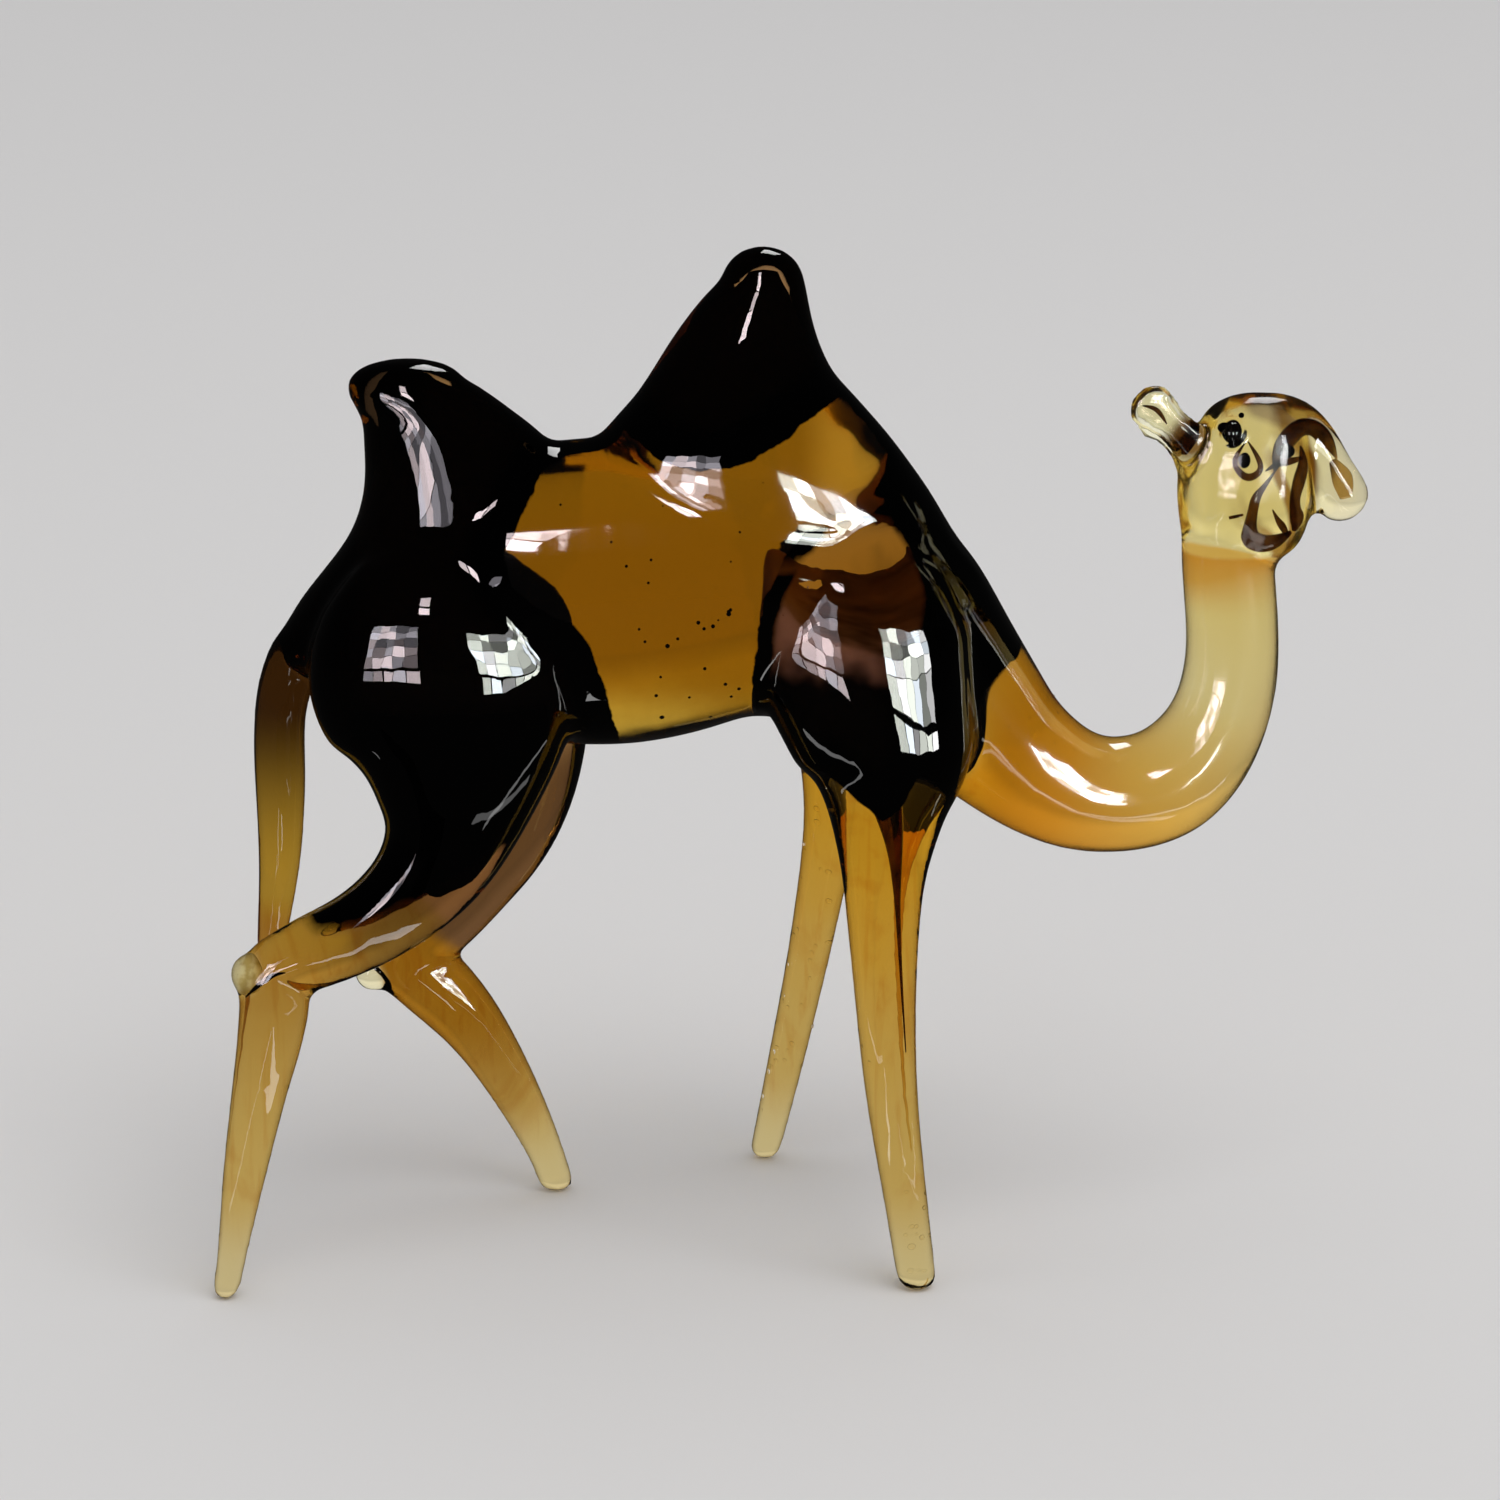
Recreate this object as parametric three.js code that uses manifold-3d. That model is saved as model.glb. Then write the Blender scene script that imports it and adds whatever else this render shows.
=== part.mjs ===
import * as THREE from 'three';
import { mergeVertices } from 'three/addons/utils/BufferGeometryUtils.js';
import Module from 'manifold-3d';

// A two-humped camel drawn and pulled from hot glass rods that are fused into one solid.
// Millimetres. +X is toward the head, -Y is the camel's own right side, +Z is up.

const wasm = await Module();
wasm.setup();

// Driving dimensions
const STANDING_PLANE = 0;
const REAR_HUMP_TOP = 70.7;
const FRONT_HUMP_TOP = 78.9;
const BARREL_HEIGHT = 24.4;
const BARREL_WIDTH = 19.4;
const BACK_HEIGHT = 52.2;
const NECK_DIAMETER = 9.2;
const NAPE_DIAMETER = 7.2;
const NECK_DIP = 34.9;
const SKULL_WIDTH = 9.4;
const MUZZLE_DIAMETER = 4.5;
const EAR_WIDTH = 4.0;
const EAR_THICKNESS = 1.6;
const EYE_DIAMETER = 1.9;
const TAIL_DIAMETER = 4.1;
const HOCK_KNOB_DIAMETER = 3.3;

// Where each leg bends and stands: [x, y, z]
const NEAR_HOCK = [-37.6, -9.4, 25.6];
const FAR_HOCK = [-28.0, 7.2, 20.6];
const NEAR_HIND_FOOT = [-41.7, -11.7, STANDING_PLANE];
const FAR_HIND_FOOT = [-15.1, 8.6, STANDING_PLANE];
const NEAR_FORE_FOOT = [11.6, -14.4, STANDING_PLANE];
const FAR_FORE_FOOT = [2.2, 14.3, STANDING_PLANE];

// Fineness of the facets
const BODY_SIDES = 20;
const SHOULDER_SIDES = 16;
const LIMB_SIDES = 12;
const BEAD_RINGS = 8;
const CAP_RINGS = 3;
const WELD_DISTANCE = 1e-5;

// How far each leg reaches below the standing plane before it is cut flat, and the cutting block
const FOOT_DEPTH = 1;
const TRIM_SIZE = 200;

const AMBER = 0x8a5a12;

// A closed mesh becomes a solid once its shared corners are merged.
function solid(geometry) {
  geometry.deleteAttribute('normal');
  geometry.deleteAttribute('uv');
  const merged = mergeVertices(geometry, WELD_DISTANCE);
  return new wasm.Manifold(new wasm.Mesh({
    numProp: 3,
    vertProperties: new Float32Array(merged.attributes.position.array),
    triVerts: new Uint32Array(merged.index.array),
  }));
}

// One oval ring of corners round a point, square to the given direction
function ring(middle, direction, across, deep, sides) {
  const side = new THREE.Vector3(0, 1, 0).addScaledVector(direction, -direction.y).normalize();
  const upright = new THREE.Vector3().crossVectors(direction, side);
  const corners = [];
  for (let i = 0; i < sides; i += 1) {
    const angle = (i / sides) * Math.PI * 2;
    corners.push(middle.clone()
      .addScaledVector(side, Math.cos(angle) * across)
      .addScaledVector(upright, Math.sin(angle) * deep));
  }
  return corners;
}

// A pulled rod: oval sections strung on a smooth line and closed by a rounded cap at each end.
// A row holds a section's middle [x, y, z], its half width across the animal and its half depth.
// A cap length is how far the rounded end reaches past the last section.
// The sections of a level rod lie flat, as the slices of a hump do, however the rod leans.
function rod(rows, { sides = LIMB_SIDES, steps = 2, startCap = 1, endCap = 1, level = false } = {}) {
  const line = new THREE.CatmullRomCurve3(rows.map(([place]) => new THREE.Vector3(...place)));
  const size = new THREE.CatmullRomCurve3(rows.map(([, across, deep]) => new THREE.Vector3(across, deep, 0)));
  const spans = (rows.length - 1) * steps;
  const rings = [];

  function heading(t) {
    return level ? new THREE.Vector3(0, 0, 1) : line.getTangent(t);
  }

  function cap(t, reach) {
    const middle = line.getPoint(t);
    const direction = heading(t);
    const { x: across, y: deep } = size.getPoint(t);
    return Array.from({ length: CAP_RINGS - 1 }, (_, i) => {
      const turn = ((i + 1) / CAP_RINGS) * (Math.PI / 2);
      const place = middle.clone().addScaledVector(direction, Math.sin(turn) * reach);
      return ring(place, direction, across * Math.cos(turn), deep * Math.cos(turn), sides);
    });
  }

  rings.push(...cap(0, -startCap).reverse());
  for (let i = 0; i <= spans; i += 1) {
    const t = i / spans;
    const { x: across, y: deep } = size.getPoint(t);
    rings.push(ring(line.getPoint(t), heading(t), across, deep, sides));
  }
  rings.push(...cap(1, endCap));

  const corners = rings.flat();
  const startPole = corners.push(line.getPoint(0).addScaledVector(heading(0), -startCap)) - 1;
  const endPole = corners.push(line.getPoint(1).addScaledVector(heading(1), endCap)) - 1;
  const faces = [];
  const last = (rings.length - 1) * sides;
  for (let i = 0; i < sides; i += 1) {
    const next = (i + 1) % sides;
    faces.push(startPole, next, i);
    faces.push(endPole, last + i, last + next);
    for (let base = 0; base < last; base += sides) {
      faces.push(base + i, base + next, base + sides + i);
      faces.push(base + next, base + sides + next, base + sides + i);
    }
  }
  const geometry = new THREE.BufferGeometry().setFromPoints(corners);
  geometry.setIndex(faces);
  return solid(geometry);
}

function bead(place, diameter) {
  const geometry = new THREE.SphereGeometry(diameter / 2, LIMB_SIDES, BEAD_RINGS);
  geometry.translate(...place);
  return solid(geometry);
}

// Barrel, chest, the dipping neck and the nape are one long rod.
function bodyAndNeck() {
  const wide = BARREL_WIDTH / 2;
  const tall = BARREL_HEIGHT / 2;
  const neck = NECK_DIAMETER / 2;
  const nape = NAPE_DIAMETER / 2;
  return rod([
    [[-30.5, 0, 50.0], wide * 0.55, tall * 0.38],
    [[-26.5, 0, 50.8], wide * 0.84, tall * 0.62],
    [[-18.5, 0, BACK_HEIGHT], wide * 0.97, tall * 0.94],
    [[-9.5, 0, BACK_HEIGHT], wide, tall],
    [[0.6, 0, BACK_HEIGHT + 0.5], wide, tall * 0.85],
    [[8.6, 0, 50.2], wide * 0.94, tall * 0.8],
    [[14.8, 0, 44.6], wide * 0.76, tall * 0.59],
    [[20.2, 0, 38.7], neck * 1.18, neck * 1.18],
    [[24.6, 0, 35.7], neck * 1.06, neck * 1.06],
    [[28.6, 0, NECK_DIP], neck, neck],
    [[33.0, 0, 36.0], neck, neck],
    [[36.4, 0, 40.2], nape * 1.12, nape * 1.1],
    [[37.6, 0, 46.2], nape * 1.02, nape * 1.02],
    [[36.9, 0, 53.6], nape, nape],
    [[36.9, 0, 57.0], nape, nape],
  ], { sides: BODY_SIDES, startCap: 3 });
}

// The rear hump grows out of the rump and leans back to a blunt knob.
function rumpAndRearHump() {
  return rod([
    [[-24.8, 0, 48.0], 6.0, 12.2],
    [[-23.4, 0, 52.0], 7.4, 11.5],
    [[-21.8, 0, 56.6], 7.2, 9.3],
    [[-21.6, 0, 60.4], 6.2, 8.1],
    [[-22.5, 0, 64.2], 4.9, 7.1],
    [[-23.7, 0, 66.2], 4.2, 6.0],
    [[-25.5, 0, 68.2], 3.6, 5.2],
    [[-26.2, 0, REAR_HUMP_TOP - 1.6], 3.1, 4.4],
  ], { sides: BODY_SIDES, startCap: 2, endCap: 1.6, level: true });
}

// The front hump rises to a rounded peak and its front edge runs on down the withers.
function frontHump() {
  return rod([
    [[4.4, 0, 54.0], 7.6, 12.6],
    [[1.2, 0, 59.4], 8.2, 12.9],
    [[-0.6, 0, 64.0], 7.4, 11.4],
    [[-0.6, 0, 67.2], 6.2, 8.6],
    [[-0.8, 0, 69.2], 5.6, 7.0],
    [[-0.5, 0, 72.2], 4.6, 5.4],
    [[0.2, 0, 74.8], 3.6, 4.1],
    [[0.8, 0, FRONT_HUMP_TOP - 2.6], 2.9, 3.2],
  ], { sides: BODY_SIDES, startCap: 2, endCap: 2.6, level: true });
}

function skull() {
  const wide = SKULL_WIDTH / 2;
  return rod([
    [[38.1, 0, 55.8], wide * 0.82, 4.8],
    [[38.2, 0, 58.8], wide, 5.4],
    [[38.3, 0, 61.6], wide * 0.94, 5.3],
    [[38.8, 0, 64.2], wide * 0.82, 4.5],
  ], { sides: BODY_SIDES, startCap: 2.4, endCap: 2.7, level: true });
}

// The muzzle starts under the brow and droops past the cheek, with a notch between them.
function muzzle() {
  const thick = MUZZLE_DIAMETER / 2;
  return rod([
    [[39.6, 0, 64.4], thick * 1.1, thick * 1.14],
    [[42.0, 0, 63.9], thick * 1.1, thick * 1.14],
    [[44.2, 0, 60.7], thick * 1.04, thick * 1.04],
    [[45.8, 0, 58.5], thick, thick],
  ], { startCap: 1.5, endCap: 1.8 });
}

function ear(base, waist, tip) {
  const flat = EAR_THICKNESS / 2;
  const wide = EAR_WIDTH / 2;
  return rod([
    [base, flat * 1.3, wide * 1.05],
    [waist, flat * 1.1, wide * 0.68],
    [tip, flat, wide * 1.03],
  ], { startCap: 1, endCap: wide * 0.86 });
}

function ears() {
  return [
    ear([34.3, -1.4, 62.7], [32.1, -2.0, 64.8], [30.3, -2.5, 66.5]),
    ear([34.4, 1.4, 62.0], [33.0, 2.2, 63.3], [31.8, 2.9, 64.4]),
  ];
}

function eyes() {
  return [bead([36.3, -3.2, 64.5], EYE_DIAMETER), bead([37.6, 3.6, 63.4], EYE_DIAMETER)];
}

function tail() {
  const thick = TAIL_DIAMETER / 2;
  return rod([
    [[-32.4, 0, 50.4], thick * 1.2, thick * 1.1],
    [[-35.2, 0, 47.4], thick * 1.1, thick * 1.1],
    [[-36.4, 0, 43.2], thick, thick],
    [[-36.5, 0, 38.0], thick, thick],
    [[-36.7, 0, 31.4], thick * 0.85, thick * 0.83],
    [[-37.6, 0, 24.4], thick * 0.56, thick * 0.56],
  ], { startCap: 1.5, endCap: 1 });
}

// Haunch, thigh and hock are one rod of a hind leg, and its shank is a second one.
function nearHindLeg() {
  return [
    rod([
      [[-23.6, -3.8, 56.4], 3.4, 5.0],
      [[-24.2, -5.2, 52.0], 5.4, 8.8],
      [[-24.1, -5.6, 47.4], 5.7, 10.4],
      [[-23.1, -6.1, 42.6], 5.4, 8.9],
      [[-23.2, -6.8, 38.8], 4.8, 6.7],
      [[-24.2, -7.6, 34.6], 4.0, 4.8],
      [[-26.6, -8.1, 31.2], 3.5, 3.8],
      [[-30.4, -8.5, 28.4], 3.1, 3.2],
      [[-34.6, -9.0, 26.7], 2.8, 2.9],
      [NEAR_HOCK, 2.3, 2.4],
    ], { sides: BODY_SIDES, startCap: 2, endCap: 1.4 }),
    bead([-39.0, -9.5, 25.4], HOCK_KNOB_DIAMETER),
    rod([
      [NEAR_HOCK, 2.3, 2.6],
      [[-37.3, -9.6, 22.6], 2.5, 2.8],
      [[-38.5, -10.1, 16.8], 2.2, 2.25],
      [[-39.9, -10.8, 10.0], 1.7, 1.75],
      [[-41.0, -11.4, 3.8], 1.2, 1.2],
      [NEAR_HIND_FOOT, 1.15, 1.0],
    ], { endCap: FOOT_DEPTH }),
  ];
}

function farHindLeg() {
  return [
    rod([
      [[-23.0, 3.8, 56.0], 3.4, 5.0],
      [[-23.2, 5.2, 50.6], 5.4, 9.2],
      [[-21.6, 5.6, 43.6], 5.5, 9.6],
      [[-20.0, 6.0, 37.4], 4.7, 7.6],
      [[-20.3, 6.4, 32.0], 4.0, 5.7],
      [[-22.4, 6.8, 27.4], 3.5, 4.2],
      [[-25.2, 7.1, 23.4], 3.1, 3.4],
      [FAR_HOCK, 2.3, 2.3],
    ], { sides: BODY_SIDES, startCap: 2, endCap: 1.2 }),
    bead([-29.6, 7.2, 19.6], HOCK_KNOB_DIAMETER),
    rod([
      [FAR_HOCK, 2.2, 2.4],
      [[-24.8, 7.2, 18.4], 2.9, 3.1],
      [[-21.2, 7.6, 13.9], 2.4, 2.5],
      [[-17.7, 8.1, 7.2], 1.85, 1.85],
      [[-15.8, 8.4, 2.6], 1.45, 1.45],
      [FAR_HIND_FOOT, 1.4, 1.4],
    ], { endCap: FOOT_DEPTH }),
  ];
}

// Each foreleg is one rod from the shoulder gob to the foot.
function nearForeleg() {
  return rod([
    [[7.2, -3.8, 57.2], 3.4, 4.4],
    [[7.4, -5.2, 53.2], 4.8, 7.0],
    [[7.8, -6.0, 48.8], 5.3, 8.3],
    [[8.7, -6.6, 44.6], 5.3, 7.7],
    [[9.8, -7.4, 40.4], 4.9, 6.8],
    [[9.6, -8.4, 36.8], 4.1, 4.7],
    [[9.2, -9.8, 31.4], 3.0, 3.15],
    [[9.2, -11.3, 23.6], 2.4, 2.45],
    [[9.6, -12.6, 15.4], 2.1, 2.05],
    [[10.5, -13.6, 8.2], 1.8, 1.75],
    [NEAR_FORE_FOOT, 1.5, 1.5],
  ], { sides: SHOULDER_SIDES, startCap: 2, endCap: FOOT_DEPTH });
}

function farForeleg() {
  return rod([
    [[7.2, 3.8, 57.0], 3.4, 4.4],
    [[7.6, 5.6, 50.4], 5.0, 7.6],
    [[8.0, 6.6, 43.6], 4.7, 6.6],
    [[8.0, 7.7, 38.0], 3.5, 4.0],
    [[7.2, 9.3, 30.0], 2.2, 2.2],
    [[5.6, 11.2, 18.6], 1.75, 1.75],
    [[3.5, 13.1, 6.8], 1.45, 1.45],
    [FAR_FORE_FOOT, 1.25, 1.2],
  ], { sides: SHOULDER_SIDES, startCap: 2, endCap: FOOT_DEPTH });
}

// All rods run into each other as they were fused hot, then the feet are flattened where they stand.
const fused = [
  bodyAndNeck(), rumpAndRearHump(), frontHump(), tail(),
  ...nearHindLeg(), ...farHindLeg(), nearForeleg(), farForeleg(),
  skull(), muzzle(), ...ears(), ...eyes(),
].reduce((whole, piece) => whole.add(piece));

const below = new THREE.BoxGeometry(TRIM_SIZE, TRIM_SIZE, TRIM_SIZE);
below.translate(0, 0, STANDING_PLANE - TRIM_SIZE / 2);
const trimmed = fused.subtract(solid(below));

const { vertProperties, triVerts } = trimmed.getMesh();
const geometry = new THREE.BufferGeometry();
geometry.setAttribute('position', new THREE.BufferAttribute(new Float32Array(vertProperties), 3));
geometry.setIndex(new THREE.BufferAttribute(new Uint32Array(triVerts), 1));

// The origin is the middle of the footprint box, on the surface that it stands on.
geometry.computeBoundingBox();
const box = geometry.boundingBox;
geometry.translate(-(box.min.x + box.max.x) / 2, -(box.min.y + box.max.y) / 2, -box.min.z);
geometry.computeVertexNormals();

const glass = new THREE.MeshStandardMaterial({ color: AMBER, roughness: 0.05, metalness: 0 });
const camel = new THREE.Mesh(geometry, glass);
camel.name = 'glass_camel';

const figurine = new THREE.Group();
figurine.add(camel);

export default figurine;
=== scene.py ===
import math
import random

import bpy
import numpy as np
from mathutils import Matrix, Vector


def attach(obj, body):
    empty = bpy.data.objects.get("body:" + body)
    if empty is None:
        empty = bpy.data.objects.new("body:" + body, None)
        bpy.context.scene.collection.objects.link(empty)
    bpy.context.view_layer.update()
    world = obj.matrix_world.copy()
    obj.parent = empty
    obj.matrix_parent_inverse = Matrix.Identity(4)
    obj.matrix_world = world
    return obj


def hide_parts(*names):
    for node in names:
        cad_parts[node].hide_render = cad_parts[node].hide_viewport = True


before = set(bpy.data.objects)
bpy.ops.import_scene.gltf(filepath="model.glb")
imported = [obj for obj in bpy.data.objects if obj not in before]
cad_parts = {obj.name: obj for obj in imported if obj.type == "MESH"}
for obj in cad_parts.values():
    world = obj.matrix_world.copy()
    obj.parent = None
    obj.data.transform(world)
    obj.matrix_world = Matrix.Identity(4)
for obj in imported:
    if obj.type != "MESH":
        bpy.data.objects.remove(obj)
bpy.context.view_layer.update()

# A two-humped camel pulled from amber glass, with dark glass fused over its humps, haunches and
# shoulders. +X points to its head, and its near side is the one towards -Y.
# Places and sizes are in millimetres where nothing else is said, and MM turns them into metres.
MM = 0.001
SOLID = "glass_camel"
BODY = "root"
NEAR = -1
FAR = 1

# Where the camera stands: degrees, metres, and the place it looks at
CAMERA_AZIMUTH = -5.0
CAMERA_HEIGHT_ANGLE = 16.5
CAMERA_DISTANCE = 0.380
CAMERA_FIELD = 17.53
CAMERA_NEAR_CLIP = 0.01
CAMERA_TARGET = Vector((-2.567, 2.581, 38.6)) * MM

# How the facets of the solid are welded and paired, and how often they are then split to round
WELD = 0.002 * MM
PAIR_FACE_ANGLE = math.radians(40)
PAIR_SHAPE_ANGLE = math.radians(50)
ROUNDING = 2

# Fineness of the glass: while it is melted together, as it stays, and of the black glass inside
FINE_GRAIN = 0.3 * MM
GRAIN = 0.375 * MM
CORE_GRAIN = 0.5 * MM

# Polishing: a step in, a step out that keeps the thickness, the passes of each, and how many
# rounds the glass gets while it is melted together, as it stays, and inside
POLISH_IN = 0.5
POLISH_OUT = -0.53
POLISH_PASSES = 2
MELTED_POLISH = 8
SKIN_POLISH = 20
CORE_POLISH = 7

# Creases: how hollow they are where the filling starts, how much more where it is full, in
# how many shares it is measured, and the rounds and the spread of it
CREASE_START = 0.06
CREASE_SPAN = 0.14
CREASE_SHARES = 20
CREASE_ROUNDS = 60
CREASE_SPREAD = 3

# How far up the feet are rounded, how wide they stay where they stand, and the x that parts
# the hind feet from the fore feet
FOOT_ROUNDING = 1.4 * MM
FOOT_SOLE = 0.5
FORE_FROM = -10.0 * MM

# How deep the black glass lies under the clear skin of the humps and limbs
CASING = 1.9 * MM

# Outlines of the amber places, as [x, z] seen from the side. The humps, haunches and shoulders
# outside them are dark.
FLANK_WINDOW = (
    (-18.9, 62.6), (-20.2, 60.6), (-21.9, 57.4), (-21.4, 55.2), (-19.4, 53.4), (-16.9, 52.2),
    (-15.5, 50.6), (-14.7, 47.6), (-13.8, 44.2), (-12.9, 41.0), (-12.4, 36.0), (-3.2, 36.0),
    (-2.7, 43.8), (-3.3, 47.3), (-3.1, 50.7), (-2.5, 53.8), (-0.9, 57.0), (0.7, 58.4),
    (3.0, 59.3), (5.7, 59.6), (7.2, 60.4), (5.9, 60.9), (6.9, 62.2), (7.4, 63.4), (5.6, 65.9),
    (3.8, 67.8), (0.5, 66.4), (-0.7, 65.4), (-4.5, 63.4), (-7.1, 63.2), (-10.1, 63.9),
    (-13.2, 66.0), (-15.1, 66.0), (-17.5, 63.3),
)
NECK_AND_HEAD = (
    (11.6, 38.6), (12.8, 39.4), (13.8, 40.2), (13.9, 42.0), (14.1, 44.1), (14.6, 45.6),
    (15.9, 46.9), (18.0, 47.6), (22.0, 50.0), (22.0, 80.0), (60.0, 80.0), (60.0, 20.0),
    (12.0, 20.0), (10.6, 34.0),
)
NEAR_FORELEG = (
    (0.0, 40.9), (1.2, 40.7), (2.2, 40.5), (3.0, 39.5), (3.8, 39.0), (5.2, 37.8),
    (6.3, 37.1), (7.4, 37.9), (8.2, 39.3), (9.0, 40.5), (10.4, 39.7), (14.0, 34.0),
    (20.0, 20.0), (20.0, -5.0), (-2.0, -5.0), (-2.0, 34.0),
)
NEAR_FORELEG_INSIDE = (
    (-2.0, 42.0), (12.0, 42.0), (14.0, 34.0), (20.0, 20.0), (20.0, -5.0), (-2.0, -5.0),
)
FAR_FORELEG = (
    (-4.0, 37.6), (2.5, 37.4), (4.6, 35.0), (6.0, 34.2), (7.4, 35.2), (10.2, 37.8),
    (14.0, 34.0), (14.0, -5.0), (-12.0, -5.0), (-8.0, 20.0),
)
NEAR_SHANK = (
    (-46.0, 33.0), (-38.8, 31.4), (-37.8, 30.0), (-36.6, 28.8), (-34.2, 29.3), (-31.2, 30.4),
    (-29.4, 31.4), (-27.4, 29.4), (-30.0, 22.0), (-30.0, -5.0), (-50.0, -5.0),
)
FAR_SHANK = (
    (-36.0, 30.0), (-31.4, 25.8), (-28.6, 24.2), (-26.0, 22.0), (-22.4, 21.0), (-18.0, 18.0),
    (-8.0, 4.0), (-8.0, -5.0), (-36.0, -5.0),
)
TAIL = (
    (-60.0, 50.0), (-42.0, 47.4), (-39.6, 44.4), (-38.6, 43.0), (-37.4, 43.6), (-36.4, 43.4),
    (-35.4, 40.0), (-36.6, 30.0), (-36.6, 20.0), (-60.0, 20.0),
)

# Outlines of the places where the dark glass is thin enough to show brown, and of the tip of
# the near thigh, which is black to the end
SHOULDER_TOP = (
    (1.3, 57.4), (2.6, 58.7), (4.9, 59.6), (7.3, 58.9), (8.9, 56.2), (9.7, 53.4), (9.2, 51.2),
    (6.6, 50.4), (3.6, 51.2), (1.0, 52.4), (-0.6, 54.2), (-0.2, 56.0),
)
SHOULDER_FOOT = (
    (-2.4, 43.6), (-0.4, 43.4), (1.6, 41.0), (3.2, 38.6), (3.0, 36.0), (-4.0, 36.0),
)
NEAR_THIGH = (
    (-31.4, 30.2), (-28.1, 32.1), (-25.5, 33.4), (-22.8, 35.5), (-20.2, 38.7), (-18.6, 41.5),
    (-14.0, 41.0), (-14.0, 20.0), (-31.4, 20.0),
)
FAR_THIGH = (
    (-30.0, 36.0), (-16.0, 41.0), (-8.0, 41.0), (-8.0, 16.0), (-34.0, 16.0), (-34.0, 30.0),
)
TAIL_ROOT = (
    (-60.0, 54.0), (-36.0, 54.0), (-34.6, 50.0), (-35.2, 46.0), (-35.2, 40.0), (-60.0, 40.0),
)
NEAR_THIGH_TIP = (
    (-38.1, 29.8), (-36.9, 28.9), (-34.2, 29.3), (-31.2, 30.3), (-28.1, 32.2), (-25.5, 33.5),
    (-22.8, 35.6), (-20.2, 38.8), (-18.6, 41.6), (-18.6, 46.0), (-34.0, 46.0), (-33.4, 38.0),
    (-32.6, 34.0), (-35.6, 31.8),
)

# How much wider the amber is on the far flank
FAR_WINDOW_GROWTH = 2.0

# The black along the back: half its width, and the [x, z] behind and above which it lies
SADDLE_BAND = 2.4
SADDLE_FROM = (-8.0, 58.0)

# How far from the middle the limbs begin, half the width of the tail, the y that parts the
# near foreleg's inside from its outside, and a reach that means nowhere
LIMBS_FROM = 2.5
TAIL_HALF = 4.0
INSIDE_FROM = -7.5
NOWHERE = 9.0

# What is cut out of the black glass: an outline, from y and to y, and how much it is grown first
THROUGH = 30.0
CORE_CUTS = (
    (FLANK_WINDOW, -THROUGH, THROUGH, 1.2), (NECK_AND_HEAD, -THROUGH, THROUGH, 1.2),
    (NEAR_FORELEG, -THROUGH, -1.5, 1.2), (NEAR_SHANK, -THROUGH, -3.0, 1.2),
    (FAR_FORELEG, 1.5, THROUGH, 1.2), (FAR_SHANK, 3.0, THROUGH, 1.2),
    (TAIL, -TAIL_HALF, TAIL_HALF, 1.2), (SHOULDER_TOP, -THROUGH, THROUGH, 1.2),
    (FAR_THIGH, 1.5, THROUGH, 1.2), (NEAR_THIGH, -THROUGH, -1.5, -1.0),
)

# Colours of the glass, then how it absorbs light, per metre
BLACK_GLASS = (0.0, 0.0, 0.0, 1)
BROWN_GLASS = (0.50, 0.32, 0.25, 1)
HUMP_RIM = (0.05, 0.032, 0.028, 1)
FAR_THIGH_BROWN = (0.18, 0.10, 0.07, 1)
NEAR_THIGH_BROWN = (0.24, 0.12, 0.07, 1)
TAIL_ROOT_BROWN = (0.05, 0.02, 0.005, 1)
EAR_ROOT_BROWN = (0.10, 0.04, 0.01, 1)
# Painted shade: the brown that the glass is tinted with towards its edges
EDGE_SHADE_BROWN = (0.12, 0.07, 0.02, 1)
THIGH_BROWN = (0.14, 0.06, 0.01, 1)
AMBER_THIGH = (0.42, 0.20, 0.02, 1)
AMBER_DEEP = (0.41, 0.24, 0.026, 1)
AMBER_PATCH = (0.72, 0.48, 0.15, 1)
# Painted light: the paler amber low on the flank, for light coming through near its lower edge
BELLY_PAINTED_LIGHT = (1.0, 0.90, 0.52, 1)
AMBER_KNEE = (0.76, 0.44, 0.05, 1)
AMBER_LEG = (0.74, 0.54, 0.21, 1)
AMBER_TAIL = (0.52, 0.32, 0.05, 1)
CLEAR_FOOT = (0.84, 0.72, 0.45, 1)
KNOB_CLEAR = (1.0, 0.98, 0.86, 1)
NECK_UNDERSIDE = (0.93, 0.78, 0.50, 1)
HEAD_HONEY = (1.0, 1.0, 0.88, 1)
HEAD_SWIRL = (0.20, 0.085, 0.012, 1)
# Painted refraction: the mauve of something dark seen through the crown
CROWN_PAINTED_REFRACTION = (0.34, 0.29, 0.34, 1)
SNOUT_CLEAR = (1.0, 0.99, 0.96, 1)
CORE_BLACK = (0.002, 0.0015, 0.0015, 1)
# Painted light: the pale mauve of the black glass under the thin shoulder glass
CORE_PAINTED_LIGHT = (0.40, 0.27, 0.31, 1)
STRAND_BROWN = (0.12, 0.05, 0.01, 1)
STRAND_DARK = (0.03, 0.012, 0.003, 1)
STRAND_GOLD = (0.52, 0.34, 0.12, 1)
DROP_MILK = (0.95, 0.92, 0.66, 1)
DROP_HONEY = (0.62, 0.52, 0.22, 1)
BUBBLE_WARM = (0.95, 0.92, 0.84, 1)
BUBBLE_CLEAR = (1.0, 1.0, 1.0, 1)
AMBER_ABSORBS = (0.933, 0.78, 0.067, 1)
AMBER_DENSITY = 150.0

# The neck's colours round its bend, from the head down to the chest: the bend's centre [x, z],
# how far above level they start and how far round they run in radians, and the colours
NECK_BEND = (24.0, 50.0)
NECK_LEAD = 0.6
NECK_SWEEP = 3.9
NECK_STOPS = (
    (0.07, (0.84, 0.46, 0.10)), (0.16, (1.0, 0.94, 0.72)), (0.32, (1.0, 1.0, 0.98)),
    (0.49, (0.90, 0.70, 0.38)), (0.61, (0.80, 0.44, 0.09)), (0.69, (0.66, 0.34, 0.03)),
)

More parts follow.
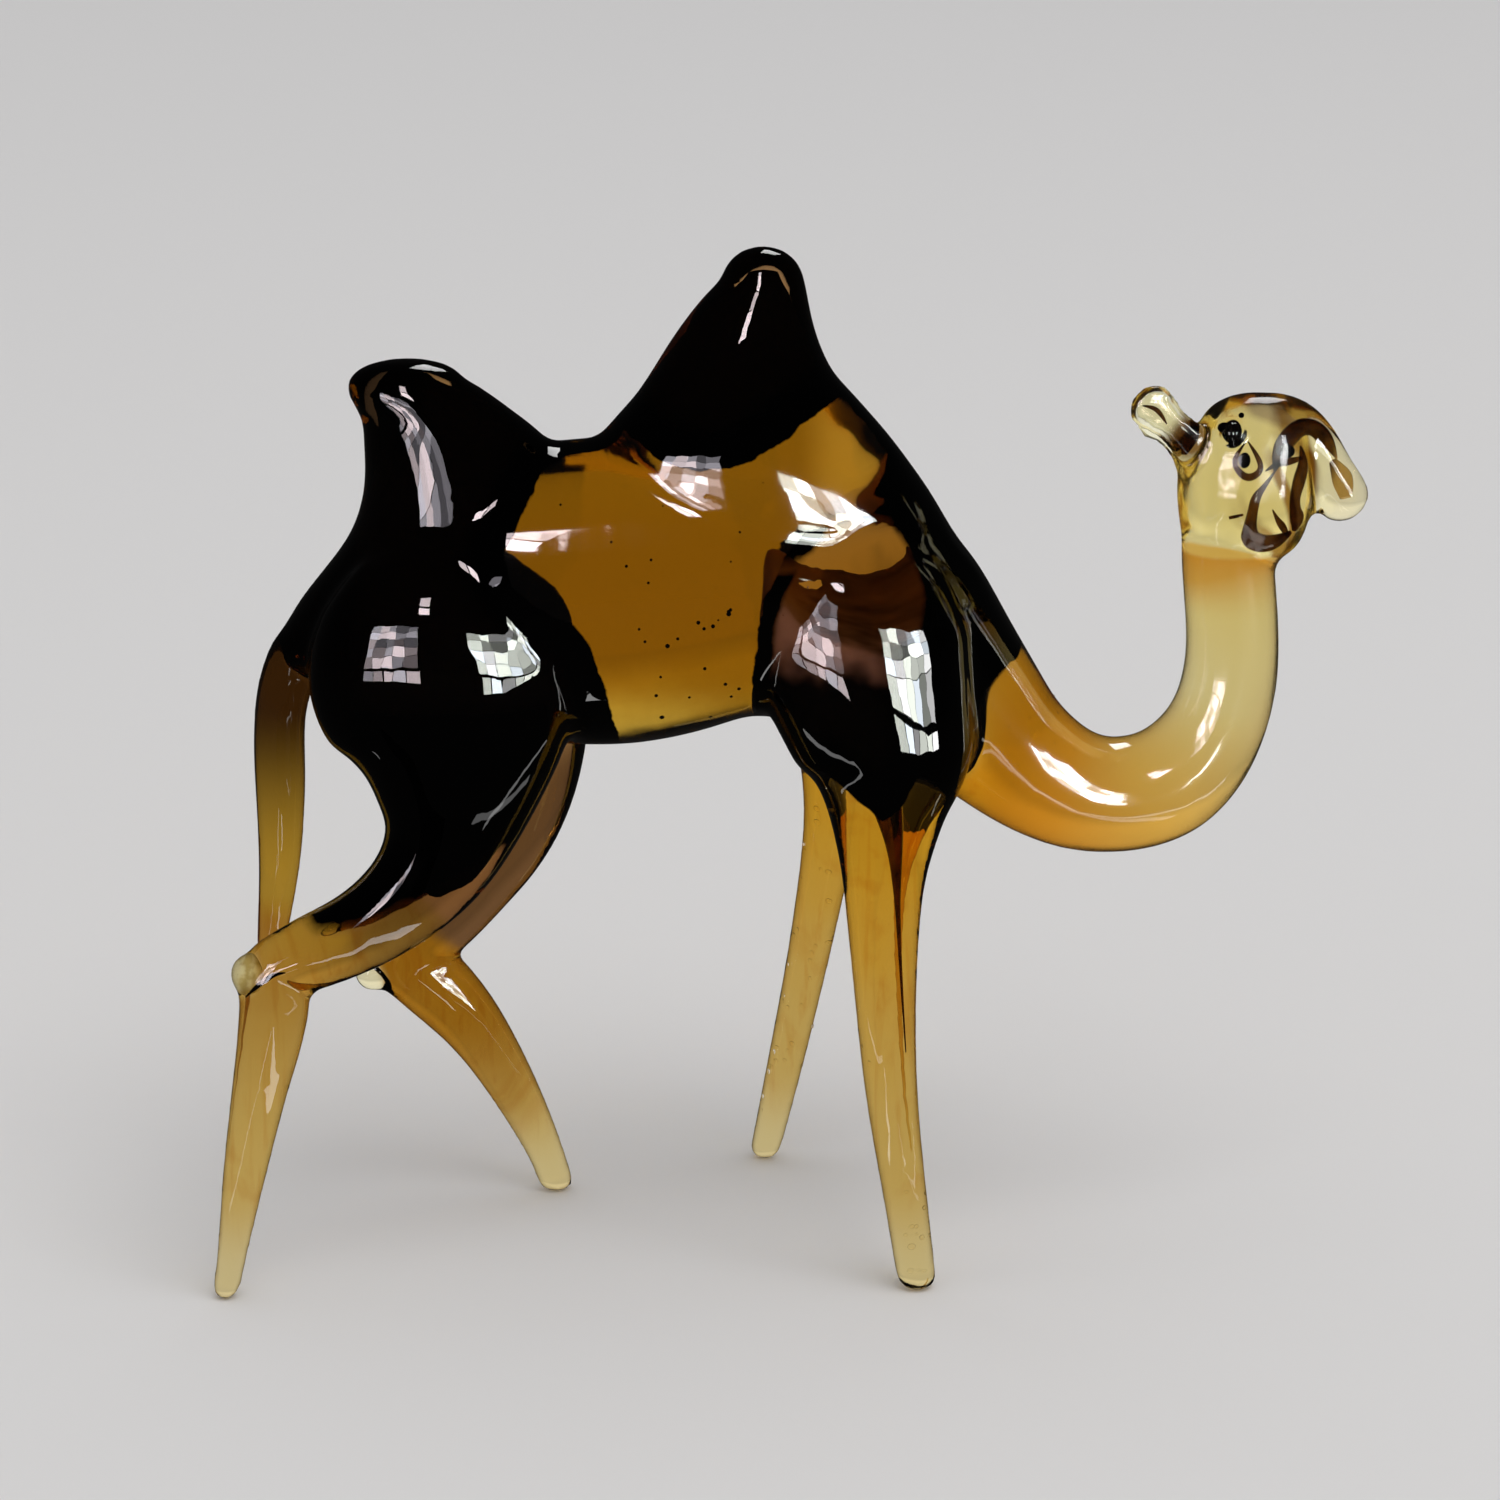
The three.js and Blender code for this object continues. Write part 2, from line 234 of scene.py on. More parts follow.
# Patterns in the glass: how fine, per millimetre, and how much detail
WANDER = (0.45, 3.0)
CLOUD = (0.16, 3.0)
STREAKS = (1.3, 3.0)
DRAWN = (0.6, 0.5)
LUMPS = (0.42, 1.0)
CHEEK_SWIRL = {"Scale": 0.13, "Distortion": 9.0, "Detail": 1.5, "Detail Scale": 0.35}
CORE_CLOUD = (0.3, 2.0)
STRAND_STREAKS = (1.6, 3.0)
DROP_SWIRL = (0.9, 3.0)
BUBBLE_VEIL = (2.0, 2.0)
CARD_MOTTLE = (0.8, 2.0)

# How patterns are squeezed along x, y and z. A number below 1 draws them out.
STREAK_STRETCH = (1, 1, 0.05)
DRAWN_STRETCH = (1, 1, 0.09)
SWIRL_STRETCH = (1, 1, 0.55)
STRAND_STRETCH = (1, 1, 0.4)

# How far the patterns move an edge or a blend, how much lower down the far hind leg turns
# clear, and how strong the streaks are and the unevenness of the surface
WANDER_REACH = 0.9
CLOUD_ON_BODY = 4.0
CLOUD_ON_LEG = 10.0
CLOUD_ON_CORE = 6.0
FAR_LEG_LIFT = 15.0
STREAK_STRENGTH = 0.5
LUMP_HEIGHT = 3.0
BUMP_STRENGTH = 0.08
BUMP_DISTANCE = 0.0004

# Where one glass runs into the next: each pair is where the next one starts and where it is
# full. These are distances inside an outline, or from a spot or the centre of the neck's bend.
AMBER_EDGE = (-0.06, 0.10)
LIMB_EDGE = (-0.6, 0.6)
THIN_EDGE = (-0.3, 0.3)
TIP_EDGE = (-0.2, 0.2)
BLACK_LINE_EDGE = (-1.5, -1.1)
BLACK_BAND_EDGE = (-3.4, -2.2)
KNOB_EDGE = (2.4, 1.5)
EAR_ROOT_EDGE = (2.3, 1.2)
NECK_UNDERSIDE_EDGE = (12.0, 19.5)

# The same as places along x, y and z, from the tail to the head
TAIL_X = (-33.5, -35.0)
TAIL_Z = (30.0, 44.0)
TAIL_TIP_Z = (26.0, 29.0)
TAIL_ROOT_X = (-32.5, -34.0)
HUMP_RIM_X = (-26.0, -29.0)
HUMP_RIM_Z = (62.0, 66.0)
THIGH_X = (-38.5, -31.0)
THIGH_Y = (2.0, 0.0)
THIGH_Z = (42.0, 36.0)
FAR_THIGH_Y = (2.0, 3.0)
HIND_X = (-16.0, -22.0)
FAR_LEG_Y = (0.0, 4.0)
LEG_Z = (40.0, 14.0)
LEG_TOP_Z = (40.5, 37.0)
FOOT_Z = (9.0, 1.5)
BELLY_REAR_X = (-16.0, -14.0)
BELLY_FRONT_X = (-1.0, -3.0)
BELLY_Z = (49.5, 43.5)
PATCH_X = (0.0, 3.0)
FLANK_Z = (38.5, 41.0)
LENS_REAR_X = (-3.6, -3.0)
LENS_FRONT_X = (7.0, 5.0)
LENS_LOW_Z = (45.0, 47.5)
LENS_HIGH_Z = (57.0, 55.0)
BLACK_LINE_Z = (56.5, 55.5)
CHEST_X = (5.5, 8.0)
# Where the black glass under the shoulder is painted with light
CORE_LIGHT_REAR_X = (-3.0, -1.0)
CORE_LIGHT_FRONT_X = (11.0, 8.0)
CORE_LIGHT_LOW_Z = (49.5, 55.0)
CORE_LIGHT_HIGH_Z = (61.0, 59.0)
NECK_X = (13.0, 17.0)
HEAD_X = (20.0, 24.0)
HEAD_Z = (54.4, 54.9)
CROWN_X = (34.4, 35.6)
CROWN_Z = (64.7, 65.5)
CROWN_LEVEL_X = 37.0
CROWN_SLOPE = 0.35
SWIRL_REAR_X = (35.4, 37.2)
SWIRL_FRONT_X = (41.4, 40.2)
SWIRL_Z = (64.2, 62.6)
SKULL_X = (40.6, 39.6)
SNOUT_X = (41.2, 43.0)
SNOUT_PATCH_X = (41.7, 42.5)

# The same as shares of a pattern, and of how far the glass is turned away from the eye
STREAK_SHARE = (0.5, 0.72)
SWIRL_SHARE = (0.62, 0.95)
STRAND_SHARE = (0.35, 0.7)
DROP_SHARE = (0.4, 0.6)
EDGE_SHADE_SHARE = (0.28, 0.92)

# Painted shade: how dark the glass is painted towards its edges, and how much less on the head and
# neck
EDGE_SHADE_STRENGTH = 0.85
EDGE_SHADE_LESS_ON_HEAD = 0.7
EDGE_SHADE_LESS_ON_NECK = 0.5

# Roughness of the clear glass, and what the milky neck, the flank and the skull add to it
CLEAR_ROUGHNESS = 0.015
NECK_ROUGHNESS = 0.11
FLANK_ROUGHNESS = 0.05
SKULL_ROUGHNESS = 0.09

# Pale knobs at the hocks, and the ear root: [x, y, z]
NEAR_KNOB = (-41.6, -9.3, 25.4)
FAR_KNOB = (-32.2, 7.4, 19.6)
EAR_ROOT = (30.6, -1.6, 63.9)

# Threads of dark glass in the head, as [x, z, half width]
# The muzzle arch is partly painted reflection, dark glass where the fold reflects dark inside the
# head, and partly the nostril
MUZZLE_ARCH = (
    (37.0, 61.6, 0.12), (37.3, 62.6, 0.62), (38.0, 63.8, 0.74), (39.2, 64.5, 0.62),
    (40.3, 64.3, 0.62), (41.2, 63.5, 0.66), (41.8, 62.7, 0.40), (42.2, 61.9, 0.08),
)
# The cheek and jaw lines are painted reflection: dark threads where refraction draws dark lines in
# the head
CHEEK_LINE = (
    (37.2, 61.8, 0.05), (36.2, 60.4, 0.18), (35.6, 59.6, 0.36), (35.4, 58.4, 0.38),
    (35.3, 57.2, 0.50), (35.5, 56.2, 0.82), (36.4, 55.8, 0.78), (37.6, 56.0, 0.62),
    (38.5, 56.6, 0.20),
)
JAW_LINE = (
    (39.1, 63.2, 0.10), (39.4, 61.9, 0.52), (39.0, 60.6, 0.62), (38.6, 59.3, 0.44),
    (38.7, 58.2, 0.52), (39.0, 57.4, 0.72), (38.8, 56.7, 0.26),
)
CHIN_LINE = ((36.9, 58.6, 0.05), (37.3, 57.8, 0.20), (37.9, 57.0, 0.34), (38.3, 56.2, 0.10))
BRIDGE_LINE = ((36.3, 61.6, 0.05), (37.2, 62.1, 0.26), (38.2, 62.1, 0.34), (39.3, 62.3, 0.12))
EYE_RIM = (
    (34.8, 63.8, 0.06), (34.1, 62.7, 0.20), (34.1, 61.8, 0.22), (35.0, 60.9, 0.32),
    (36.1, 61.6, 0.22), (35.7, 62.8, 0.20), (35.0, 63.8, 0.05),
)
EAR_LINE = ((26.9, 66.7, 0.05), (27.7, 66.6, 0.20), (28.4, 65.9, 0.18), (28.8, 65.2, 0.05))
EAR_FOOT = ((31.2, 64.9, 0.10), (31.0, 64.4, 0.50), (30.7, 63.7, 0.62), (30.4, 62.7, 0.20))
SNOUT_PATCH = ((41.9, 61.6, 0.30), (42.5, 60.6, 0.66), (43.0, 59.6, 0.70), (43.1, 58.8, 0.40))
CHEEK_DROPS = ((33.7, 58.0, 0.12), (34.1, 58.1, 0.16), (34.7, 58.3, 0.10))

# Dark drip down the near foreleg, and the slits under the hock knobs
FORELEG_DRIP = (
    (6.4, 39.4, 1.30), (6.9, 37.0, 0.95), (7.2, 34.6, 0.55), (7.3, 31.4, 0.26),
    (7.4, 28.4, 0.16), (7.6, 24.0, 0.11), (7.9, 19.0, 0.05),
)
NEAR_HOCK_SLIT = (
    (-42.0, 24.0, 0.05), (-41.3, 24.8, 0.16), (-40.5, 25.5, 0.22), (-39.7, 26.0, 0.16),
    (-39.0, 26.1, 0.05),
)
FAR_HOCK_SLIT = (
    (-32.9, 20.3, 0.05), (-32.0, 19.7, 0.22), (-31.0, 19.3, 0.26), (-30.0, 18.4, 0.06),
)

# Each thread, how deep it lies under the skin, and on which side
BROWN_THREADS = (
    (MUZZLE_ARCH, 0.35, NEAR), (CHEEK_LINE, 0.45, NEAR), (JAW_LINE, 0.45, NEAR),
    (BRIDGE_LINE, 0.5, NEAR), (CHIN_LINE, 0.7, NEAR), (EYE_RIM, 0.5, NEAR),
    (EAR_LINE, 0.25, NEAR), (EAR_FOOT, 0.4, NEAR), (SNOUT_PATCH, 0.8, NEAR),
    (CHEEK_DROPS, 0.5, NEAR), (FORELEG_DRIP, 0.25, NEAR),
)
BLACK_THREADS = ((NEAR_HOCK_SLIT, 0.2, NEAR), (FAR_HOCK_SLIT, 0.3, FAR))

# Beads: [x, z], depth under the skin, side, a shift along x, y and z from there, and half sizes
HOCK_DROP = ((-41.6, 25.4), 1.7, NEAR, (0.0, 0.0, 0.0), (1.15, 1.0, 1.5))
BLACK_BEADS = (
    ((33.9, 64.6), 1.0, NEAR, (0.0, 0.0, 0.0), (0.55, 0.6, 0.85)),
    ((33.9, 64.6), 1.0, NEAR, (-0.7, 0.1, 0.25), (0.5, 0.4, 0.4)),
    ((33.9, 64.6), 1.0, NEAR, (0.7, 0.5, 1.05), (0.22, 0.22, 0.26)),
    ((35.0, 63.4), 1.0, FAR, (0.0, 0.0, 0.0), (0.75, 0.6, 0.85)),
    ((35.0, 62.1), 2.0, NEAR, (0.0, 0.0, 0.0), (0.42, 0.5, 0.62)),
    ((37.9, 62.9), 0.9, NEAR, (0.0, 0.0, 0.0), (0.72, 0.4, 0.55)),
)

# Specks and bubbles: how many, the two corners [x, z] they lie between, the range of their half
# sizes, their side, and how much taller than wide they are. Then the range of their depths.
DARK_SPECKS = (
    (26, (-12.2, 41.5), (-4.0, 53.0), (0.06, 0.20), NEAR, 1.0),
    (14, (-18.0, 52.0), (4.0, 66.0), (0.05, 0.12), NEAR, 1.0),
    (16, (11.0, 47.0), (16.0, 53.0), (0.05, 0.11), NEAR, 1.0),
)
AIR_BUBBLES = (
    (60, (-2.5, 3.0), (6.0, 34.0), (0.06, 0.14), FAR, 2.0),
    (16, (8.0, 1.2), (10.0, 8.0), (0.10, 0.26), NEAR, 1.0),
    (12, (16.0, 37.0), (30.0, 44.0), (0.06, 0.12), NEAR, 1.0),
)
SPECK_DEPTHS = (0.2, 1.8)
SPECK_SEED = 3

# Fineness of the round lumps, as segments and rings, and of the threads, with their order
BEAD_FINENESS = (16, 10)
SPECK_FINENESS = (8, 5)
THREAD_ROUNDNESS = 3
THREAD_SMOOTHNESS = 8
THREAD_ORDER = 3

# How far from the middle the rays start that look for the skin
OUTSIDE = 40.0

# Windows of small panes round the camel: name, azimuth of the first column, columns, rows, range
# of power in watts, and the colours of the light
WHITE_LIGHT = (1.0, 1.0, 1.0)
BLUE_LIGHT = (0.84, 0.92, 1.0)
GREEN_LIGHT = (0.95, 1.0, 0.9)
LILAC_LIGHT = (0.95, 0.9, 1.0)
MAUVE_LIGHT = (1.0, 0.84, 0.87)
WINDOWS = (
    ("right", 18.5, 6, 4, (0.03, 0.55), (WHITE_LIGHT, BLUE_LIGHT, GREEN_LIGHT)),
    ("left", -43.0, 5, 5, (0.02, 0.26), (MAUVE_LIGHT, LILAC_LIGHT)),
)
PANE_SEED = 11

# Panes: the angles from one to the next and the height of the first row in degrees, then
# distance and size in metres. The low row under them is nearer and has a share of the power.
PANE_STEP = 6.5
ROW_STEP = 4.6
FIRST_ROW = 1.6
PANE_DISTANCE = 0.75
PANE_SIZE = (0.082, 0.058)
LOW_ROW = -3.6
LOW_DISTANCE = 0.42
LOW_SIZE = (0.043, 0.036)
LOW_SHARE = 0.25

# Panes high up in front: how many, azimuth, height of the first, step, size and range of power
HIGH_PANES = 2
HIGH_AZIMUTH = -10
HIGH_ROW = 36
HIGH_STEP = 8
HIGH_SIZE = (0.09, 0.09)
HIGH_POWERS = (0.3, 0.6)

# Lights of their own: azimuth and height in degrees, distance and size in metres, and power
BACK_WINDOW = (160, 48, 0.9, (0.30, 0.30), 1.6)
SOFT_OVERHEAD = (35, 62, 1.3, (0.9, 0.9), 5.0)

# Dark cards that keep the windows off the head and the near thigh: name, place, azimuth, size,
# and their colours
CARDS = (
    ("head_flag", (53.0, -24.0, 66.0), 36.0, (38.0, 26.0)),
    ("thigh_flag", (-37.0, -24.0, 31.0), -22.0, (18.0, 9.0)),
)
CARD_DARK = (0.010, 0.010, 0.010, 1)
CARD_LESS_DARK = (0.016, 0.016, 0.016, 1)

# Strips of bright table seen down the legs: the leg's x and y, azimuth and power, then their
# size and the distance of their middle from the leg in metres, and their height
SHEEN_STRIPS = (
    (-42.0, -13.0, -17.0, 0.003), (-42.0, -13.0, 16.0, 0.005), (8.0, -14.0, 24.0, 0.002),
    (8.0, -14.0, 52.0, 0.003),
)
STRIP_SIZE = (0.0045, 0.08)
STRIP_DISTANCE = 0.055
STRIP_HEIGHT = 0.5

# The floor: its width in metres, how far it lies under the feet, and its colours as it is lit,
# as it is mirrored, and as it glows through the glass. The last pair parts the rays that have
# come through glass from those that haven't.
FLOOR_WIDTH = 8.0
FLOOR_DROP = 0.05
FLOOR_PALE = (0.78, 0.77, 0.76, 1)
FLOOR_MIRRORED = (0.02, 0.019, 0.018, 1)
FLOOR_GLOW = (0.65, 0.645, 0.64, 1)
THROUGH_GLASS = (0.2, 0.8)

# The room: as it is seen, as it lights the floor, and, from the horizon up, as it is mirrored
# and as it is seen through the glass
ROOM_SEEN = (0.60, 0.60, 0.60, 1)
ROOM_LIGHT = (0.62, 0.62, 0.63, 1)
ROOM_MIRRORED = (
    (0.0, (0.012, 0.012, 0.012)), (0.35, (0.009, 0.009, 0.009)), (1.0, (0.008, 0.008, 0.008)),
)
ROOM_THROUGH_GLASS = (
    (0.0, (0.60, 0.60, 0.60)), (0.14, (0.86, 0.86, 0.86)), (0.34, (0.85, 0.85, 0.85)),
    (0.6, (0.9, 0.9, 0.9)), (0.85, (0.12, 0.12, 0.12)), (1.0, (0.08, 0.08, 0.08)),
)


def select_only(thing):
    bpy.ops.object.select_all(action="DESELECT")
    thing.select_set(True)
    bpy.context.view_layer.objects.active = thing


def finish_with(thing, kind, **settings):
    """Gives a piece one modifier and applies it."""
    select_only(thing)
    modifier = thing.modifiers.new(kind, kind)
    for name, value in settings.items():
        setattr(modifier, name, value)
    bpy.ops.object.modifier_apply(modifier=modifier.name)


def copy_of(thing, name):
    """A piece with its own copy of another one's mesh, and no material."""
    piece = bpy.data.objects.new(name, thing.data.copy())
    bpy.context.scene.collection.objects.link(piece)
    piece.data.materials.clear()
    return piece


def polish(piece, rounds):
    """Evens out a surface and keeps its thickness, each step in followed by a step out."""
    for _ in range(rounds):
        finish_with(piece, "SMOOTH", factor=POLISH_IN, iterations=POLISH_PASSES)
        finish_with(piece, "SMOOTH", factor=POLISH_OUT, iterations=POLISH_PASSES)


def corners_of(piece):
    places = np.empty(len(piece.data.vertices) * 3)
    piece.data.vertices.foreach_get("co", places)
    return places.reshape(-1, 3)


def join_facets(piece):
    """Welds the loose facets of the solid and pairs them into quads."""
    select_only(piece)
    bpy.ops.object.mode_set(mode="EDIT")
    bpy.ops.mesh.select_all(action="SELECT")
    bpy.ops.mesh.remove_doubles(threshold=WELD)
    bpy.ops.mesh.tris_convert_to_quads(
        face_threshold=PAIR_FACE_ANGLE, shape_threshold=PAIR_SHAPE_ANGLE)
    bpy.ops.object.mode_set(mode="OBJECT")


def soften_creases(piece):
    """Fills the creases where one rod runs into the next, as glass flows there when it is hot."""
    mesh = piece.data
    places = corners_of(piece)
    normals = np.empty(len(places) * 3)
    mesh.vertices.foreach_get("normal", normals)
    normals = normals.reshape(-1, 3)
    ends = np.empty(len(mesh.edges) * 2, dtype=int)
    mesh.edges.foreach_get("vertices", ends)
    a, b = ends.reshape(-1, 2).T
    along = places[b] - places[a]
    length2 = (along ** 2).sum(1)
    hollow = np.zeros(len(places))
    count = np.zeros(len(places))
    np.add.at(hollow, a, (along * normals[a]).sum(1) / length2)
    np.add.at(hollow, b, -(along * normals[b]).sum(1) / length2)
    np.add.at(count, a, 1)
    np.add.at(count, b, 1)
    hollow = hollow / count * MM
    weight = np.clip((hollow - CREASE_START) / CREASE_SPAN, 0, 1)
    for _ in range(CREASE_SPREAD):
        total = weight.copy()
        np.add.at(total, a, weight[b])
        np.add.at(total, b, weight[a])
        weight = np.maximum(weight, total / (count + 1))
    group = piece.vertex_groups.new(name="creases")
    shares = np.round(weight * CREASE_SHARES).astype(int)
    for share in range(1, CREASE_SHARES + 1):
        corners = np.nonzero(shares == share)[0].tolist()
        group.add(corners, share / CREASE_SHARES, "REPLACE")
    finish_with(piece, "SMOOTH", factor=POLISH_IN, iterations=CREASE_ROUNDS,
                vertex_group="creases")
    piece.vertex_groups.clear()


def round_feet(piece):
    """Draws each foot in towards its sole, as a nub that has run round in the flame."""
    places = corners_of(piece)
    x, y, z = places.T
    low = z < FOOT_ROUNDING
    for side in (y < 0, y > 0):
        for end in (x < FORE_FROM, x > FORE_FROM):
            foot = low & side & end
            middle = places[foot, :2].mean(axis=0)
            up = 1 - places[foot, 2] / FOOT_ROUNDING
            width = FOOT_SOLE + (1 - FOOT_SOLE) * np.sqrt(np.clip(1 - up * up, 0, 1))
            places[foot, :2] = middle + (places[foot, :2] - middle) * width[:, None]
    piece.data.vertices.foreach_set("co", places.ravel())
    piece.data.update()


def glass_form(name):
    """The camel as it came from the flame: no facets, and soft where its rods join."""
    piece = copy_of(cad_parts[SOLID], name)
    join_facets(piece)
    finish_with(piece, "SUBSURF", levels=ROUNDING, render_levels=ROUNDING)
    finish_with(piece, "REMESH", mode="VOXEL", voxel_size=FINE_GRAIN)
    polish(piece, MELTED_POLISH)
    soften_creases(piece)
    soften_creases(piece)
    finish_with(piece, "REMESH", mode="VOXEL", voxel_size=GRAIN)
    polish(piece, SKIN_POLISH)
    round_feet(piece)
    select_only(piece)
    bpy.ops.object.shade_smooth()
    return piece


def reach_inside(outline, x, z):
    """How far inside an outline each point lies. Outside it the reach is below zero."""
    points = np.array(outline, dtype=float)
    nearest = np.full(len(x), np.inf)
    inside = np.zeros(len(x), dtype=bool)
    for (x0, z0), (x1, z1) in zip(points, np.roll(points, -1, axis=0)):
        dx, dz = x1 - x0, z1 - z0
        t = np.clip(((x - x0) * dx + (z - z0) * dz) / (dx * dx + dz * dz), 0, 1)
        nearest = np.minimum(nearest, np.hypot(x - x0 - t * dx, z - z0 - t * dz))
        if z0 != z1:
            crosses = (z0 > z) != (z1 > z)
            inside ^= crosses & (x < x0 + (z - z0) * dx / dz)
    return np.where(inside, nearest, -nearest)


def grown(outline, by):
    """An outline moved outwards all round by a distance."""
    points = np.array(outline, dtype=float)
    ahead = np.roll(points, -1, axis=0) - points
    ahead /= np.hypot(*ahead.T)[:, None]
    out = np.stack([ahead[:, 1], -ahead[:, 0]], axis=1)
    both = out + np.roll(out, 1, axis=0)
    both /= np.hypot(*both.T)[:, None]
    turn = np.roll(points, -1, axis=0)
    area = (points[:, 0] * turn[:, 1] - turn[:, 0] * points[:, 1]).sum()
    return points + both * by * np.sign(area)


def mark(piece, name, values):
    """Keeps one number for each corner of a piece, which its material reads."""
    attribute = piece.data.attributes.new(name, "FLOAT", "POINT")
    attribute.data.foreach_set("value", values.astype(np.float32))


def mark_zones(piece):
    """Marks how far each corner lies inside the amber, brown and black places."""
    x, y, z = corners_of(piece).T / MM
    near = y < -LIMBS_FROM
    far = y > LIMBS_FROM
    middle = np.abs(y) < TAIL_HALF

    def inside(outline, where=True):
        return np.where(where, reach_inside(outline, x, z), -NOWHERE)

    flank = np.where(y < 0, inside(FLANK_WINDOW), inside(grown(FLANK_WINDOW, FAR_WINDOW_GROWTH)))
    on_saddle = (x < SADDLE_FROM[0]) & (z > SADDLE_FROM[1])
    flank = np.minimum(flank, np.where(on_saddle, np.abs(y) - SADDLE_BAND, NOWHERE))
    mark(piece, "window_reach", np.maximum.reduce([
        flank, inside(NECK_AND_HEAD), inside(NEAR_FORELEG, near), inside(FAR_FORELEG, far),
        inside(NEAR_FORELEG_INSIDE, near & (y > INSIDE_FROM))]))
    mark(piece, "limb_reach", np.maximum.reduce([
        inside(NEAR_SHANK, near), inside(FAR_SHANK, far), inside(TAIL, middle)]))
    mark(piece, "brown_reach", np.maximum.reduce([
        inside(SHOULDER_TOP), inside(SHOULDER_FOOT), inside(FAR_THIGH, far),
        inside(NEAR_THIGH, near), inside(TAIL_ROOT, middle)]))
    mark(piece, "black_reach", inside(NEAR_THIGH_TIP, near))


def slab(outline, low, high):
    """A slab with the given outline seen from the side, from y = low to y = high."""
    bpy.ops.object.select_all(action="DESELECT")
    bpy.ops.mesh.primitive_circle_add(vertices=len(outline), fill_type="NGON")
    made = bpy.context.object
    for corner, (x, z) in zip(made.data.vertices, outline):
        corner.co = Vector((x, low, z)) * MM
    bpy.ops.object.mode_set(mode="EDIT")
    bpy.ops.mesh.select_all(action="SELECT")
    bpy.ops.mesh.extrude_region_move(
        TRANSFORM_OT_translate={"value": (0, (high - low) * MM, 0)})
    bpy.ops.mesh.select_all(action="SELECT")
    bpy.ops.mesh.normals_make_consistent(inside=False)
    bpy.ops.object.mode_set(mode="OBJECT")
    return made


def core_form(name):
    """The black glass under the clear skin of the humps, haunches and shoulders."""
    core = copy_of(skin, name)
    finish_with(core, "DISPLACE", strength=-CASING, mid_level=0)
    finish_with(core, "REMESH", mode="VOXEL", voxel_size=CORE_GRAIN)
    for outline, low, high, growth in CORE_CUTS:
        cut = slab(grown(outline, growth), low, high)
        finish_with(core, "BOOLEAN", object=cut, operation="DIFFERENCE", solver="EXACT")
        bpy.data.objects.remove(cut)
    finish_with(core, "REMESH", mode="VOXEL", voxel_size=CORE_GRAIN)
    polish(core, CORE_POLISH)
    select_only(core)
    bpy.ops.object.shade_smooth()
    return core


def under_skin(spot, depth, side):
    """A place under the skin of one side, where it is seen at the spot [x, z] from that side."""
    x, z = spot
    start = Vector((x, side * OUTSIDE, z)) * MM
    inwards = Vector((0, -side, 0))
    found, hit, _, _ = skin.ray_cast(start, inwards)
    return hit + inwards * depth * MM if found else None


def thread(points, depth, side):
    """A tapered thread of glass just under the skin. A point is [x, z, half width]."""
    bpy.ops.object.select_all(action="DESELECT")
    bpy.ops.curve.primitive_nurbs_path_add()
    made = bpy.context.object
    curve = made.data
    curve.splines.clear()
    line = curve.splines.new("NURBS")
    line.points.add(len(points) - 1)
    for knot, (x, z, half) in zip(line.points, points):
        knot.co = (*under_skin((x, z), depth + half, side), 1)
        knot.radius = half
    line.use_endpoint_u = True
    line.order_u = THREAD_ORDER
    curve.bevel_depth = MM
    curve.bevel_resolution = THREAD_ROUNDNESS
    curve.resolution_u = THREAD_SMOOTHNESS
    curve.use_fill_caps = True
    select_only(made)
    bpy.ops.object.convert(target="MESH")
    bpy.ops.object.shade_smooth()
    return made


def round_lump(place, half_sizes, fineness):
    """A small round lump of glass, shaped from a ball and moved to its place in edit mode."""
    segments, rings = fineness
    bpy.ops.object.select_all(action="DESELECT")
    bpy.ops.mesh.primitive_uv_sphere_add(segments=segments, ring_count=rings, radius=MM)
    lump = bpy.context.object
    bpy.ops.object.mode_set(mode="EDIT")
    bpy.ops.mesh.select_all(action="SELECT")
    bpy.ops.transform.resize(value=half_sizes, center_override=(0, 0, 0))
    bpy.ops.transform.translate(value=place)
    bpy.ops.object.mode_set(mode="OBJECT")
    bpy.ops.object.shade_smooth()
    return lump


def bead(spot, depth, side, shift, half_sizes):
    """A round lump under the skin, moved along x, y and z from where it would lie."""
    place = under_skin(spot, depth, side) + Vector(shift) * MM
    return round_lump(place, half_sizes, BEAD_FINENESS)


def scattered(lots):
    """Copies of one small lump, at random places and of random sizes, inside the glass."""
    pattern = round_lump((0, 0, 0), (1, 1, 1), SPECK_FINENESS)
    lumps = []
    for count, low, high, sizes, side, taller in lots:
        wanted = len(lumps) + count
        while len(lumps) < wanted:
            spot = (random.uniform(low[0], high[0]), random.uniform(low[1], high[1]))
            size = random.uniform(*sizes)
            place = under_skin(spot, size + random.uniform(*SPECK_DEPTHS), side)
            if place is not None:
                lump = copy_of(pattern, "lump")
                lump.data.transform(Matrix.Diagonal((size, size, size * taller, 1)))
                lump.data.transform(Matrix.Translation(place))
                lumps.append(lump)
    bpy.data.objects.remove(pattern)
    return lumps


def piece_of(name, things, material):
    """Several bits of one glass as one piece, which rides on the body."""
    select_only(things[0])
    for thing in things:
        thing.select_set(True)
    if len(things) > 1:
        bpy.ops.object.join()
    piece = bpy.context.object
    piece.name = name
    piece.data.name = name
    piece.data.materials.clear()
    piece.data.materials.append(material)
    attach(piece, BODY)
    return piece


